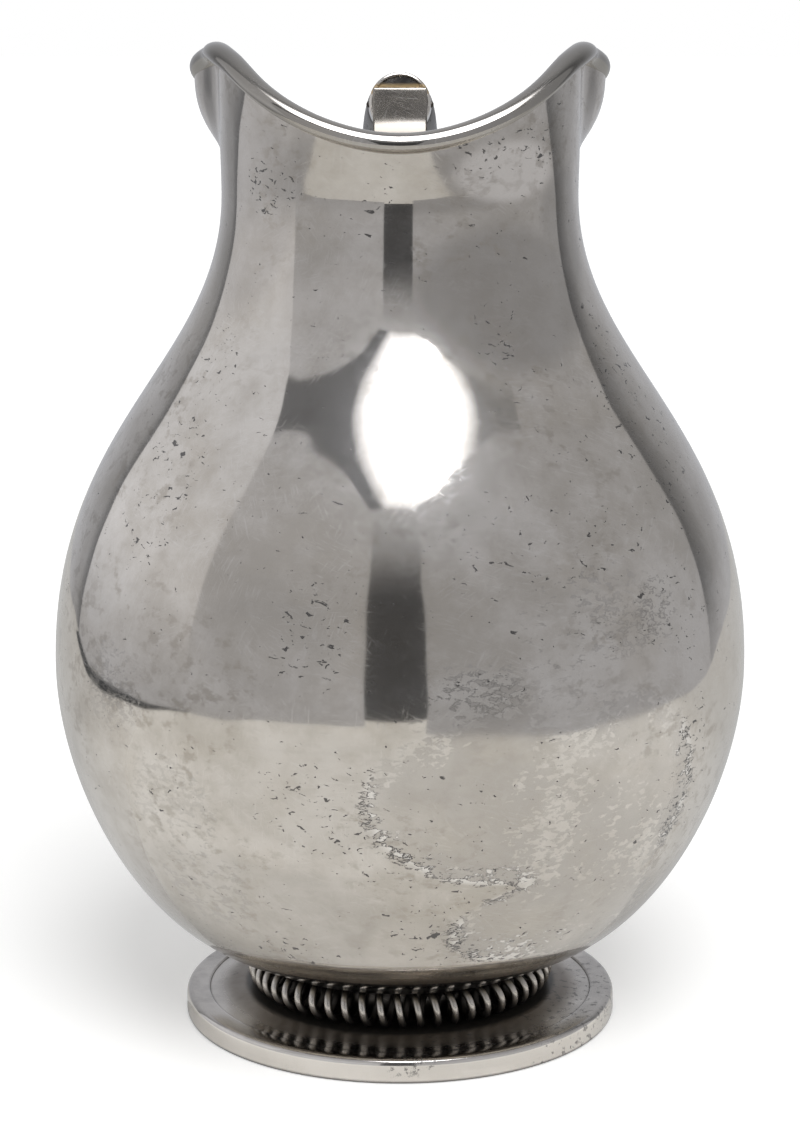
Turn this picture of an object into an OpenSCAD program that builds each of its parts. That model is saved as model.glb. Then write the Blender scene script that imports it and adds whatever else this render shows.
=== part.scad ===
// Silver water pitcher: a pear-shaped vessel with a two-eared mouth, on a foot with a ring of
// coiled wire, with a wooden grip held in two pinned ferrules.
// The pitcher stands on z = 0, its axis is the z axis, and the handle is on the +Y side.

/* [Whole pitcher] */
// Height of the pitcher, from the table to the top of the rim
pitcher_h = 230.4; // [205:0.1:255]
// Thickness of the silver sheet
wall = 1.1; // [0.9:0.1:2]

/* [Foot] */
// Outer diameter of the ring that the pitcher stands on
foot_d = 102.8; // [90:0.2:120]
// Height of the foot ring
foot_h = 5.8; // [4:0.1:9]
// Width of the foot ring from its inside to its outside
foot_ring_w = 5.6; // [4:0.1:7]
// Rounding of the foot ring's upper outer edge
foot_edge_r = 0.6; // [0.2:0.1:1.5]
// Thickness of the dish inside the foot ring
dish_t = 1.5; // [1:0.1:2.5]
// How far the dish's outer edge lies below the top of the foot ring
dish_drop = 0.4; // [0.2:0.1:1]
// How far the dish rises from its outer edge to the stem
dish_rise = 0.9; // [0.4:0.1:3]
// Width of the dish's flat middle, beyond the coil
dish_land = 1.2; // [0.5:0.1:3]
// Outer diameter of the stem tube that carries the bowl
stem_d = 55.4; // [46:0.2:60]
// Wall of the stem tube
stem_t = 1.5; // [1:0.1:3]

/* [Coil] */
// Diameter of the coiled wire
wire_d = 1.7; // [1.2:0.1:2.2]
// Number of turns round the ring
coil_turns = 52; // [40:1:58]
// Outer diameter of the coil's own winding
coil_d = 8.8; // [7:0.1:11]
// Clearance of the coil from the stem, the dish and the bowl
coil_gap = 0.15; // [0.1:0.05:0.3]

/* [Body] */
// Diameter where the bowl's wall starts, above the foot
base_d = 87; // [80:0.5:96]
// Height of that start above the bowl's flat underside
base_rise = 4.1; // [3:0.1:8]
// Slope of the bowl where its wall starts, in degrees
base_slope = 21.3; // [10:0.1:35]
// Reach of the bowl's curve at its start
base_reach = 22.7; // [12:0.1:30]
// Largest diameter of the body
belly_d = 161.6; // [145:0.2:180]
// Height of the largest diameter above the start of the wall
belly_rise = 67.6; // [55:0.2:85]
// Reach of the curve below the largest diameter
belly_low_reach = 26.4; // [15:0.1:40]
// Reach of the curve above the largest diameter, as a share of the height up to the neck
belly_up_share = 0.52; // [0.35:0.005:0.6]
// Smallest diameter of the neck
neck_d = 81.4; // [72:0.2:92]
// Reach of the curve below the neck, as a share of the same height
neck_share = 0.36; // [0.25:0.005:0.5]

/* [Mouth] */
// Height of the rim above the neck at the front
front_rise = 14.4; // [10:0.1:20]
// Height of the rim above the neck at its two highest points
peak_rise = 31.7; // [24:0.1:38]
// Height of the rim above the neck at the back
back_rise = 5.4; // [4:0.1:12]
// Angle from the front to each highest point
peak_angle = 80; // [72:1:95]
// Angle from the front to where each ear starts
pinch_angle = 88; // [80:1:96]
// Angle from the front to the middle of each ear
ear_angle = 114; // [106:1:125]
// Outward flare of the wall at the front
front_flare = 2.2; // [0.5:0.1:4]
// Outward flare of the wall at each pinch
pinch_flare = 0.6; // [0.2:0.1:2]
// Outward flare of the wall at each ear
ear_flare = 10.1; // [5:0.1:13]
// Outward flare of the wall at the back
back_flare = 2.6; // [1:0.1:8]
// Width of the rim wire at the front
rim_w = 6.2; // [5:0.1:8]
// Width of the rim wire at each ear
rim_ear_w = 4.2; // [3.8:0.1:6]
// Height of the rim wire
rim_h = 4.6; // [3.6:0.1:6]
// How far the rim wire's middle lies outside the wall at the front
rim_out_front = 0.2; // [-0.5:0.1:0.8]
// How far the rim wire's middle lies outside the wall at each ear
rim_out_ear = -1.3; // [-1.6:0.1:-0.6]

/* [Handle] */
// Width of the bracket straps
strap_w = 13.4; // [10:0.1:15]
// Thickness of the bracket straps
strap_t = 2.2; // [1.6:0.1:3]
// Thickness of a strap where it is soldered on
strap_root_t = 3.4; // [2.4:0.1:4]
// Radius of the bend in the middle of a strap
strap_bend = 9; // [7:0.1:12]
// Straight length of the upper strap between the rim and its bend
upper_lead = 3.4; // [0.5:0.1:6]
// Straight length of the lower strap between the belly and its bend
lower_lead = 4; // [2:0.1:10]
// Straight length of a strap past its bend
strap_end = 6.8; // [5:0.1:9]
// How far a strap's end stands past the middle of its ferrule
strap_over = 3.4; // [0.5:0.1:4.5]
// Height of the lower strap's root above the largest diameter of the body
lower_root_rise = 23; // [10:0.5:40]
// Diameter of a ferrule at its closed end
ferrule_d = 15.2; // [13:0.1:18]
// Diameter of a ferrule at its mouth
ferrule_mouth_d = 15.8; // [15:0.1:20]
// Length of a ferrule
ferrule_l = 7; // [5:0.1:12]
// Wall of a ferrule
ferrule_t = 0.9; // [0.6:0.1:1.4]
// Downward tilt of the upper ferrule, in degrees
upper_tilt = 12; // [0:1:25]
// Upward tilt of the lower ferrule, in degrees
lower_tilt = 20; // [0:1:35]
// Diameter of the cross pins
pin_d = 1.6; // [1.2:0.1:2.4]
// How far a pin's domed end stands out of its ferrule
pin_proud = 0.6; // [0.3:0.1:1]
// Width of the grip at its middle
grip_w = 21.6; // [18:0.1:26]
// Thickness of the grip at its middle, in the plane of the handle
grip_t = 17.6; // [16:0.1:22]
// Reach of the grip's curve at its upper end
grip_upper_reach = 52; // [35:1:65]
// Reach of the grip's curve at its lower end
grip_lower_reach = 26; // [15:1:40]
// Clearance of the grip's ends in the ferrules
grip_fit = 0.1; // [0.05:0.05:0.2]

/* [Hidden] */
// Segments of round shapes
$fn = 96;
// Segments of the mouth round the axis
mouth_segments = 96;
// Rows of the mouth's wall from the neck to the rim
mouth_rows = 11;
// Corners of the rim wire's section
rim_sides = 12;
// Angle of the rim wire's seat, each side of straight down
rim_seat_angle = 45;
// Steps of each curve in the body's outline
curve_steps = 20;
// Steps of a strap's bend
bend_steps = 12;
// Rings of the coil's wire in each turn
coil_rings_per_turn = 8;
// Corners of the coil's wire
coil_sides = 6;
// Rings of the grip
grip_rings = 22;
// Corners of the grip
grip_sides = 24;
// Power of the grip's swelling: the lower, the sooner it is at full size
grip_swell = 0.7;
// Degrees between the points of a small rounding
round_step = 15;
// Share of the height from the neck to the rim at which an ear starts to swell
ear_start = 0.26;
// Power of an ear's swelling: the higher, the lower down it is at full size
ear_swell = 2.5;
// Inset of the mouth's lowest rows, which end inside the neck's wall
seam = 0.06;
// Depth of those rows in the neck's wall
seam_depth = 1;
// Depth by which a shape enters another that it is joined to or cut by
overlap = 2;
// Angle from the front of the mouth to its back
back_angle = 180;

// Radius of the wire's path round the middle of the coil
coil_path_r = (coil_d - wire_d) / 2;
dish_top = foot_h - dish_drop + dish_rise;
coil_ring_r = stem_d / 2 + coil_gap + coil_d / 2;
coil_z = dish_top + coil_gap + coil_d / 2;
floor_z = dish_top + coil_d + 2 * coil_gap;
floor_r = coil_ring_r;
base_z = floor_z + base_rise;
belly_z = base_z + belly_rise;
neck_z = pitcher_h - peak_rise - rim_h / 2;
neck_rise = neck_z - belly_z;
neck_r = neck_d / 2;
foot_inner_r = foot_d / 2 - foot_ring_w;

// Points and directions of a cubic curve with the corners p
function curve_point(p, t) =
    pow(1 - t, 3) * p[0] + 3 * t * pow(1 - t, 2) * p[1] + 3 * t * t * (1 - t) * p[2] + pow(t, 3) * p[3];
function curve_direction(p, t) =
    let (d = pow(1 - t, 2) * (p[1] - p[0]) + 2 * t * (1 - t) * (p[2] - p[1]) + t * t * (p[3] - p[2]))
    d / norm(d);
function curve_side(p, t, offset) =
    let (d = curve_direction(p, t))
    curve_point(p, t) + offset * [-d[1], d[0]];
function smooth_step(u) =
    let (c = min(max(u, 0), 1))
    c * c * (3 - 2 * c);

// Corners of the three curves of the body's outline, as [radius, height]
base_direction = [cos(base_slope), sin(base_slope)];
heel_reach = (base_d / 2 - floor_r) / 2;
heel_curve = [
    [floor_r, floor_z],
    [floor_r + heel_reach, floor_z],
    [base_d / 2, base_z] - heel_reach * base_direction,
    [base_d / 2, base_z]
];
bowl_curve = [
    [base_d / 2, base_z],
    [base_d / 2, base_z] + base_reach * base_direction,
    [belly_d / 2, belly_z - belly_low_reach],
    [belly_d / 2, belly_z]
];
shoulder_curve = [
    [belly_d / 2, belly_z],
    [belly_d / 2, belly_z + belly_up_share * neck_rise],
    [neck_r, neck_z - neck_share * neck_rise],
    [neck_r, neck_z]
];
body_curves = [heel_curve, bowl_curve, shoulder_curve];

// Outline of the body from its underside to the neck, moved inwards by depth
function body_outline(depth) = [
    [0, floor_z + depth],
    for (c = [0:2])
        for (i = [(c == 0 ? 0 : 1):curve_steps])
            curve_side(body_curves[c], i / curve_steps, depth)
];
// Outer radius of the shoulder at height z
function shoulder_r(z) = lookup(z, [
    for (i = [0:curve_steps])
        let (p = curve_point(shoulder_curve, i / curve_steps))
        [p[1], p[0]]
]);

// Triangles of a closed section of k points that runs round a loop of n sections
function loop_faces(n, k) = [
    for (i = [0:n - 1])
        for (j = [0:k - 1])
            let (
                i2 = (i + 1) % n,
                j2 = (j + 1) % k
            )
            each [
                [i * k + j, i * k + j2, i2 * k + j2],
                [i * k + j, i2 * k + j2, i2 * k + j]
            ]
];
// Triangles of a tube of n sections of k points, with flat ends
function tube_faces(n, k) = concat(
    [
        for (i = [0:n - 2])
            for (j = [0:k - 1])
                let (j2 = (j + 1) % k)
                each [
                    [i * k + j, i * k + j2, (i + 1) * k + j2],
                    [i * k + j, (i + 1) * k + j2, (i + 1) * k + j]
                ]
    ],
    [[for (j = [k - 1:-1:0]) j]],
    [[for (j = [0:k - 1]) (n - 1) * k + j]]
);

// Point at an angle from the front, a radius and a height
function round_axis(angle, r, z) = [r * sin(angle), -r * cos(angle), z];
// Height of the rim above the neck at an angle from the front
function rim_rise(a) =
    a < peak_angle
        ? front_rise + (peak_rise - front_rise) * pow(sin(90 * a / peak_angle), 2)
        : back_rise + (peak_rise - back_rise) * pow(sin(90 * (back_angle - a) / (back_angle - peak_angle)), 2);
// Share of an ear's flare at that angle
function ear_share(a) =
    a < ear_angle
        ? smooth_step((a - pinch_angle) / (ear_angle - pinch_angle))
        : 1 - (1 - back_flare / ear_flare) * smooth_step((a - ear_angle) / (back_angle - ear_angle));
// Flare of the plain lip at that angle
function lip_flare(a) = pinch_flare + (front_flare - pinch_flare) * smooth_step(1 - a / pinch_angle);
// Share of an ear's flare at a height, for t from 0 at the neck to 1 at the rim
function ear_profile(t) = 1 - pow(min((1 - t) / (1 - ear_start), 1), ear_swell);
// Outer radius of the mouth's wall at that angle and height
function mouth_r(a, t) =
    neck_r - seam + lip_flare(a) * pow(t, 3)
    + ear_flare * ear_share(a) * ear_profile(t);

// The rim wire's seat lies this far below its middle
rim_seat = rim_h / 2 * cos(rim_seat_angle);
function rim_middle_r(a) = mouth_r(a, 1) + rim_out_front + (rim_out_ear - rim_out_front) * ear_share(a);
function rim_width(a) = rim_w + (rim_ear_w - rim_w) * ear_share(a);

// Section of the mouth's wall at segment i: up its outside, then down its inside
function mouth_section(i) =
    let (
        angle = i * 360 / mouth_segments - back_angle,
        a = abs(angle),
        rise = rim_rise(a) - rim_seat,
        inset = wall - 2 * seam
    )
    [
        round_axis(angle, mouth_r(a, 0), neck_z - seam_depth),
        for (j = [1:mouth_rows])
            let (t = j / mouth_rows)
            round_axis(angle, mouth_r(a, t), neck_z + rise * t),
        for (j = [mouth_rows:-1:1])
            let (t = j / mouth_rows)
            round_axis(angle, mouth_r(a, t) - inset, neck_z + rise * t),
        round_axis(angle, mouth_r(a, 0) - inset, neck_z - seam_depth)
    ];

module mouth_wall() {
    polyhedron(
        [for (i = [0:mouth_segments - 1]) each mouth_section(i)],
        loop_faces(mouth_segments, 2 * mouth_rows + 2)
    );
}

// Section of the rim wire at segment i: an oval with a flat seat on the wall's edge
function rim_section(i) =
    let (
        angle = i * 360 / mouth_segments - back_angle,
        a = abs(angle)
    )
    [
        for (j = [0:rim_sides - 1])
            let (turn = rim_seat_angle - 90 + j * (360 - 2 * rim_seat_angle) / (rim_sides - 1))
            round_axis(
                angle,
                rim_middle_r(a) + rim_width(a) / 2 * cos(turn),
                neck_z + rim_rise(a) + rim_h / 2 * sin(turn)
            )
    ];

module rim_shape() {
    polyhedron(
        [for (i = [0:mouth_segments - 1]) each rim_section(i)],
        loop_faces(mouth_segments, rim_sides)
    );
}

// Solid that fills the body's outline up to the neck
module body_fill() {
    rotate_extrude()
        polygon(concat(body_outline(0), [[0, neck_z]]));
}

module body() {
    inside = body_outline(wall);
    color("silver") {
        rotate_extrude()
            polygon(concat(body_outline(0), [for (i = [len(inside) - 1:-1:0]) inside[i]]));
        mouth_wall();
    }
}

module rim_wire() {
    color("gainsboro")
        rim_shape();
}

module foot_ring() {
    r = foot_d / 2;
    color("silver")
        rotate_extrude()
            polygon([
                [foot_inner_r, 0],
                [r, 0],
                for (turn = [0:round_step:90])
                    [r, foot_h] + foot_edge_r * [cos(turn) - 1, sin(turn) - 1],
                [foot_inner_r, foot_h]
            ]);
}

// Upper line of the dish, from its outer edge to the stem's bore
function dish_line() =
    let (inner = coil_ring_r + coil_d / 2 + dish_land)
    [
        for (i = [0:curve_steps])
            let (t = i / curve_steps)
            [foot_inner_r + (inner - foot_inner_r) * t, dish_top - dish_rise * (1 - t * t)],
        [stem_d / 2 - stem_t, dish_top]
    ];

module foot_dish() {
    line = dish_line();
    color("darkgray")
        rotate_extrude()
            polygon(concat(line, [for (i = [len(line) - 1:-1:0]) line[i] - [0, dish_t]]));
}

module foot_stem() {
    color("dimgray")
        translate([0, 0, dish_top])
            difference() {
                cylinder(h = floor_z - dish_top, d = stem_d);
                translate([0, 0, -overlap])
                    cylinder(h = floor_z - dish_top + 2 * overlap, d = stem_d - 2 * stem_t);
            }
}

// Middle of the coiled wire at a share s of the way round, and the wire's section there
function coil_middle(s) =
    let (
        turn = 360 * coil_turns * s,
        r = coil_ring_r + coil_path_r * cos(turn)
    )
    round_axis(360 * s - back_angle, r, coil_z - coil_path_r * sin(turn));
coil_rings = coil_turns * coil_rings_per_turn;
function coil_section(i) =
    let (
        half = 0.5 / coil_rings,
        s = i / coil_rings,
        d = coil_middle(s + half) - coil_middle(s - half),
        along = d / norm(d),
        axis = round_axis(360 * s - back_angle, coil_ring_r, coil_z),
        away = coil_middle(s) - axis,
        side = away - (away * along) * along,
        u = side / norm(side),
        v = cross(u, along)
    )
    [
        for (j = [0:coil_sides - 1])
            let (turn = 360 * j / coil_sides)
            coil_middle(s) + wire_d / 2 * (u * cos(turn) + v * sin(turn))
    ];
// Least gap between the wire and its next turn, measured over one turn's points
coil_self_gap = min([
    for (i = [0:coil_rings_per_turn * 4])
        for (k = [-coil_rings_per_turn * 2:coil_rings_per_turn * 2])
            let (
                s = i / (4 * coil_rings),
                s2 = s + (1 + k / (4 * coil_rings_per_turn)) / coil_turns
            )
            norm(coil_middle(s2) - coil_middle(s)) - wire_d
            + (abs(s2 - s) * coil_turns < 0.5 + 1e-6 ? 1e6 : 0)
]);

module coil_ring() {
    echo(coil_self_gap_mm = coil_self_gap);
    color("lightgray")
        polyhedron(
            [for (i = [0:coil_rings - 1]) each coil_section(i)],
            loop_faces(coil_rings, coil_sides)
        );
}

// The handle lies in the plane x = 0, and its outlines are [y, z] points.
// A strap leaves its root to the back, bends upwards by sweep degrees and ends straight.
function strap_sweep(tilt) = 90 - tilt;
function strap_bend_point(root, lead, angle, r) =
    root + [lead + r * sin(angle), strap_bend - r * cos(angle)];
function strap_end_direction(tilt) = [cos(strap_sweep(tilt)), sin(strap_sweep(tilt))];
function ferrule_axis(tilt) = [cos(tilt), -sin(tilt)];
// Middle of the ferrule's closed face, on the back of the strap's end
function ferrule_seat(root, lead, tilt) =
    strap_bend_point(root, lead, strap_sweep(tilt), strap_bend + strap_t / 2)
    + (strap_end - strap_over) * strap_end_direction(tilt);

module strap(root, lead, tilt) {
    sweep = strap_sweep(tilt);
    tip = strap_end * strap_end_direction(tilt);
    lower = [
        for (i = [0:bend_steps])
            strap_bend_point(root, lead, sweep * i / bend_steps, strap_bend + strap_t / 2)
    ];
    upper = [
        for (i = [bend_steps:-1:0])
            strap_bend_point(root, lead, sweep * i / bend_steps, strap_bend - strap_t / 2)
    ];
    rotate([90, 0, 90])
        linear_extrude(strap_w, center = true)
            polygon(concat(
                [root - [overlap, strap_root_t / 2], root - [0, strap_root_t / 2]],
                lower,
                [lower[bend_steps] + tip, upper[0] + tip],
                upper,
                [root + [0, strap_root_t / 2], root + [-overlap, strap_root_t / 2]]
            ));
}

// Places a shape whose own axis is z on a ferrule's seat
module on_ferrule(seat, tilt) {
    translate([0, seat[0], seat[1]])
        rotate([-90 - tilt, 0, 0])
            children();
}

ferrule_mid_d = (ferrule_d + ferrule_mouth_d) / 2;

module pin_hole() {
    translate([0, 0, ferrule_l / 2])
        rotate([0, 90, 0])
            cylinder(h = 2 * ferrule_mouth_d, d = pin_d, center = true);
}

module ferrule(seat, tilt) {
    color("silver")
        on_ferrule(seat, tilt)
            difference() {
                cylinder(h = ferrule_l, d1 = ferrule_d, d2 = ferrule_mouth_d);
                translate([0, 0, ferrule_t])
                    cylinder(
                        h = ferrule_l,
                        d1 = ferrule_d - 2 * ferrule_t,
                        d2 = ferrule_d - 2 * ferrule_t + ferrule_mouth_d - ferrule_d
                    );
                pin_hole();
            }
}

module cross_pin(seat, tilt) {
    half = ferrule_mid_d / 2;
    color("dimgray")
        on_ferrule(seat, tilt)
            translate([0, 0, ferrule_l / 2])
                rotate([0, 90, 0])
                    rotate_extrude()
                        polygon([
                            for (turn = [-90:round_step:0])
                                [pin_d / 2 * cos(turn), pin_proud * sin(turn) - half],
                            for (turn = [0:round_step:90])
                                [pin_d / 2 * cos(turn), pin_proud * sin(turn) + half]
                        ]);
}

upper_root = [rim_middle_r(back_angle) + rim_width(back_angle) / 2, neck_z + back_rise];
lower_root = [shoulder_r(belly_z + lower_root_rise), belly_z + lower_root_rise];
upper_seat = ferrule_seat(upper_root, upper_lead, upper_tilt);
lower_seat = ferrule_seat(lower_root, lower_lead, -lower_tilt);

module upper_bracket() {
    color("silver")
        difference() {
            strap(upper_root, upper_lead, upper_tilt);
            rim_shape();
        }
}

module lower_bracket() {
    color("silver")
        difference() {
            strap(lower_root, lower_lead, -lower_tilt);
            body_fill();
        }
}

module upper_ferrule() {
    ferrule(upper_seat, upper_tilt);
}

module lower_ferrule() {
    ferrule(lower_seat, -lower_tilt);
}

module upper_pin() {
    cross_pin(upper_seat, upper_tilt);
}

module lower_pin() {
    cross_pin(lower_seat, -lower_tilt);
}

// Middle line of the grip, from the upper ferrule's mouth to the lower one's
upper_mouth = upper_seat + ferrule_l * ferrule_axis(upper_tilt);
lower_mouth = lower_seat + ferrule_l * ferrule_axis(-lower_tilt);
grip_curve = [
    upper_mouth,
    upper_mouth + grip_upper_reach * ferrule_axis(upper_tilt),
    lower_mouth + grip_lower_reach * ferrule_axis(-lower_tilt),
    lower_mouth
];
// Size across the grip at t, from the ferrule's mouth to the middle
function grip_size(middle, t) = ferrule_mouth_d + (middle - ferrule_mouth_d) * pow(sin(180 * t), grip_swell);
function grip_section(i) =
    let (
        t = i / (grip_rings - 1),
        d = curve_direction(grip_curve, t),
        p = curve_point(grip_curve, t)
    )
    [
        for (j = [0:grip_sides - 1])
            let (
                turn = 360 * j / grip_sides,
                across = grip_size(grip_w, t) / 2 * cos(turn),
                q = p + grip_size(grip_t, t) / 2 * sin(turn) * [-d[1], d[0]]
            )
            [across, q[0], q[1]]
    ];

// Round end of the grip that fills a ferrule
module grip_tenon(seat, tilt) {
    floor_d = ferrule_d - 2 * ferrule_t - 2 * grip_fit;
    widening = (ferrule_mouth_d - ferrule_d) / ferrule_l;
    length = ferrule_l - ferrule_t - grip_fit + overlap;
    on_ferrule(seat, tilt)
        translate([0, 0, ferrule_t + grip_fit])
            cylinder(h = length, d1 = floor_d, d2 = floor_d + widening * length);
}

module grip() {
    color([0.13, 0.12, 0.12])
        difference() {
            union() {
                polyhedron(
                    [for (i = [0:grip_rings - 1]) each grip_section(i)],
                    tube_faces(grip_rings, grip_sides)
                );
                grip_tenon(upper_seat, upper_tilt);
                grip_tenon(lower_seat, -lower_tilt);
            }
            on_ferrule(upper_seat, upper_tilt)
                pin_hole();
            on_ferrule(lower_seat, -lower_tilt)
                pin_hole();
        }
}

body();
rim_wire();
foot_ring();
foot_dish();
foot_stem();
coil_ring();
upper_bracket();
upper_ferrule();
upper_pin();
grip();
lower_ferrule();
lower_pin();
lower_bracket();
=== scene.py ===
from math import atan2, cos, degrees, hypot, pi, radians, sin, sqrt

import bpy
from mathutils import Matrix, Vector


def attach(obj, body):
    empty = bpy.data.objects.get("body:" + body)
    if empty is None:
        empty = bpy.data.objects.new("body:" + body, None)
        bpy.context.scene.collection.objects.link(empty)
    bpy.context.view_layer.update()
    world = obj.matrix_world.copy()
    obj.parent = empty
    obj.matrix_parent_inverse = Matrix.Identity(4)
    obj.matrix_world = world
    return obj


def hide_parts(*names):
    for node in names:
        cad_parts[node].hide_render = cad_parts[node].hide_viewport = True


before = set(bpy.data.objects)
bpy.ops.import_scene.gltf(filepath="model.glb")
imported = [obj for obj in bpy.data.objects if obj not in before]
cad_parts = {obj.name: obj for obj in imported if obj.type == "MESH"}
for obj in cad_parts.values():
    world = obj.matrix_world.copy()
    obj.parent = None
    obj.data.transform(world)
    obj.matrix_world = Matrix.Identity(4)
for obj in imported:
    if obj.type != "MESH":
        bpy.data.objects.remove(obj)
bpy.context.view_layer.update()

MM = 0.001

# Sizes of the pitcher in millimetres and degrees, as in the part's source
PITCHER_H, WALL = 230.4, 1.1
FOOT_D, FOOT_H, FOOT_RING_W = 102.8, 5.8, 5.6
DISH_T, DISH_DROP, DISH_RISE, DISH_LAND = 1.5, 0.4, 0.9, 1.2
STEM_D, STEM_T = 55.4, 1.5
WIRE_D, COIL_TURNS, COIL_D, COIL_GAP = 1.7, 52, 8.8, 0.15
BASE_D, BASE_RISE, BASE_SLOPE, BASE_REACH = 87.0, 4.1, 21.3, 22.7
BELLY_D, BELLY_RISE, BELLY_LOW_REACH, BELLY_UP_SHARE = 161.6, 67.6, 26.4, 0.52
NECK_D, NECK_SHARE = 81.4, 0.36
FRONT_RISE, PEAK_RISE, BACK_RISE = 14.4, 31.7, 5.4
PEAK_ANGLE, PINCH_ANGLE, EAR_ANGLE = 80.0, 88.0, 114.0
FRONT_FLARE, PINCH_FLARE, EAR_FLARE, BACK_FLARE = 2.2, 0.6, 10.1, 2.6
EAR_START, EAR_SWELL = 0.26, 2.5
RIM_W, RIM_EAR_W, RIM_H = 6.2, 4.2, 4.6
RIM_OUT_FRONT, RIM_OUT_EAR, RIM_SEAT_ANGLE = 0.2, -1.3, 45.0
STRAP_W, STRAP_T, STRAP_ROOT_T, STRAP_BEND = 13.4, 2.2, 3.4, 9.0
STRAP_END, STRAP_OVER = 6.8, 3.4
UPPER_LEAD, LOWER_LEAD, LOWER_ROOT_RISE = 3.4, 4.0, 23.0
UPPER_TILT, LOWER_TILT = 12.0, 20.0
FERRULE_D, FERRULE_MOUTH_D, FERRULE_L, FERRULE_T = 15.2, 15.8, 7.0, 0.9
PIN_D, PIN_PROUD = 1.6, 0.6
GRIP_W, GRIP_T, GRIP_SWELL = 21.6, 17.6, 0.7
GRIP_UPPER_REACH, GRIP_LOWER_REACH = 52.0, 26.0

# Small forms of the scene's own, and how far pieces reach into each other
LIP_BEND, LIP_FULL_ANGLE, LIP_FADE_ANGLE, PINCH_FADE_ANGLE = 2.4, 20.0, 45.0, 60.0
EAR_SOFTNESS = 0.01
RIM_SINK = 0.12
FOOT_ROUNDINGS = (0.4, 0.9, 1.8, 0.6)
STRAP_INSET, STRAP_EDGE, STRAP_TIP_R = 1.6, 0.55, 0.5
CAP_DISH, CAP_CENTRE_R, CAP_ROUNDINGS = 0.6, 0.6, (0.9, 0.35, 0.35, 0.5, 0.0)
TENON_GAP, TENON_L, TENON_STEP = 0.4, 4.0, 0.3
GRIP_EDGE, GRIP_EDGE_STEPS = 0.35, 1.5

# Rows and columns of the meshes
SEGMENTS = 240
OUTER_STEPS, INNER_STEPS = (10, 52, 70), (6, 30, 40)
MOUTH_STEPS, MOUTH_INNER_STEPS = 30, 20
RIM_SIDES, DISH_STEPS = 28, 24
COIL_STEPS, COIL_SIDES = 26, 10
LEAD_STEPS, BEND_STEPS, END_STEPS, TIP_STEPS = 6, 24, 8, 4
CAP_SEGMENTS, PIN_SEGMENTS = 96, 24
GRIP_STEPS, GRIP_SIDES = 90, 48
CORNER_STEPS, STRAP_CORNER_STEPS, SHOULDER_STEPS = 5, 4, 400

# Shares of a cap's radius where its face has rings, and how far a pin's dome goes round, in degrees
CAP_FACE = (0.08, 0.25, 0.4, 0.55, 0.7, 0.8, 0.88)
PIN_DOME, PIN_DOME_STEP = 84, 12

# The most of a side that the rounding of a corner takes
CORNER_SHARE = 0.48

# Heights and radii that follow from the sizes
DISH_TOP = FOOT_H - DISH_DROP + DISH_RISE
COIL_R = STEM_D / 2 + COIL_GAP + COIL_D / 2
COIL_OUTER_R = COIL_R + COIL_D / 2
COIL_Z = DISH_TOP + COIL_GAP + COIL_D / 2
COIL_PATH_R = (COIL_D - WIRE_D) / 2
BOTTOM_R = COIL_R / 2
FLOOR_Z = DISH_TOP + COIL_D + 2 * COIL_GAP
BASE_Z = FLOOR_Z + BASE_RISE
BELLY_Z = BASE_Z + BELLY_RISE
NECK_Z = PITCHER_H - PEAK_RISE - RIM_H / 2
NECK_RISE = NECK_Z - BELLY_Z
NECK_R = NECK_D / 2
FOOT_INNER_R = FOOT_D / 2 - FOOT_RING_W
RIM_SEAT = RIM_H / 2 * cos(radians(RIM_SEAT_ANGLE))


def smooth(u):
    """Goes from 0 to 1 with a soft start and end."""
    c = min(max(u, 0.0), 1.0)
    return c * c * (3 - 2 * c)


def mix(a, b, u):
    return a + (b - a) * u


def curve(p, t):
    """Point on a cubic curve with the corners p."""
    k = ((1 - t) ** 3, 3 * t * (1 - t) ** 2, 3 * t * t * (1 - t), t ** 3)
    return tuple(sum(w * q[i] for w, q in zip(k, p)) for i in (0, 1))


def curve_direction(p, t):
    """Direction of that curve, with length 1."""
    k = ((1 - t) ** 2, 2 * t * (1 - t), t * t)
    d = [sum(w * (b[i] - a[i]) for w, a, b in zip(k, p, p[1:])) for i in (0, 1)]
    n = hypot(*d)
    return d[0] / n, d[1] / n


def rounded(points, radius, steps=CORNER_STEPS):
    """The closed outline with each corner rounded, by one radius or by one for each corner."""
    n = len(points)
    radii = radius if isinstance(radius, tuple) else (radius,) * n
    out = []
    for i, p in enumerate(points):
        p = Vector(p)
        a, b = Vector(points[i - 1]) - p, Vector(points[(i + 1) % n]) - p
        r = min(radii[i], CORNER_SHARE * a.length, CORNER_SHARE * b.length)
        if r < 1e-6:
            out.append(tuple(p))
            continue
        start, end = p + a.normalized() * r, p + b.normalized() * r
        for k in range(steps + 1):
            t = k / steps
            out.append(tuple((1 - t) ** 2 * start + 2 * t * (1 - t) * p + t * t * end))
    return out


def piece(name, points, faces, material, node, slot):
    """A smooth piece in millimetres that stands for a CAD node."""
    mesh = bpy.data.meshes.new(name)
    mesh.from_pydata([tuple(MM * c for c in p) for p in points], [], faces)
    mesh.validate()
    mesh.polygons.foreach_set("use_smooth", [True] * len(mesh.polygons))
    mesh.materials.append(material)
    obj = bpy.data.objects.new(name, mesh)
    bpy.context.scene.collection.objects.link(obj)
    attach(obj, "root")
    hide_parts(node)
    return obj


def give_values(obj, name, values):
    """Gives each point of an object its value of an attribute that a material reads."""
    obj.data.attributes.new(name, "FLOAT", "POINT").data.foreach_set("value", values)


def bands(rows, columns, closed_rows):
    """Quads of a grid whose columns run round."""
    out = []
    for i in range(rows if closed_rows else rows - 1):
        a, b = i * columns, (i + 1) % rows * columns
        for j in range(columns):
            k = (j + 1) % columns
            out.append((a + j, a + k, b + k, b + j))
    return out


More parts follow.
